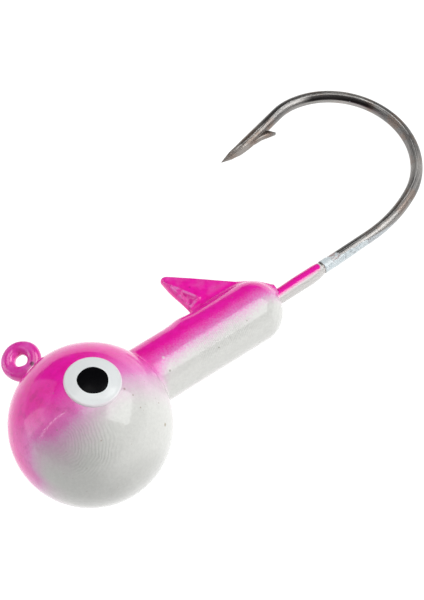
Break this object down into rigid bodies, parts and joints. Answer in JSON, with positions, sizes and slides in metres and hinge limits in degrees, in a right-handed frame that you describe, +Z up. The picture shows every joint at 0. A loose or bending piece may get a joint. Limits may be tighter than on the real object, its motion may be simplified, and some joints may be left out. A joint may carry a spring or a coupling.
{
  "type": "jig head",
  "caption": "Round ball jig head with a collar, a fin-shaped bait keeper and a bent hook cast in, with a line-tie ring on top of the ball.",
  "frame": {"origin": "middle of the jig's box at the height of the table it lies on", "axes": "+X runs back along the jig from the ball to the bend of the hook, +Y runs to the hook point's side, +Z is up from the table; the jig lies on one eye and on the outside of the bend, so the plane of the hook leans 12 degrees"},
  "size_m": [0.0508, 0.0256, 0.0146],
  "materials": {
    "hook_steel": "satin",
    "lead": "matte",
    "pearl_paint": "gloss",
    "pink_paint": "gloss",
    "eye_white": "gloss",
    "pupil_black": "gloss"
  },
  "bodies": {
    "root": {"hook": "hook_steel", "lead_casting": "lead", "pearl_paint": "pearl_paint", "pink_paint": "pink_paint", "line_tie_paint": "pink_paint", "shank_paint": "pink_paint", "left_eye": "eye_white", "right_eye": "eye_white", "left_pupil": "pupil_black", "right_pupil": "pupil_black"}
  },
  "joints": []
}
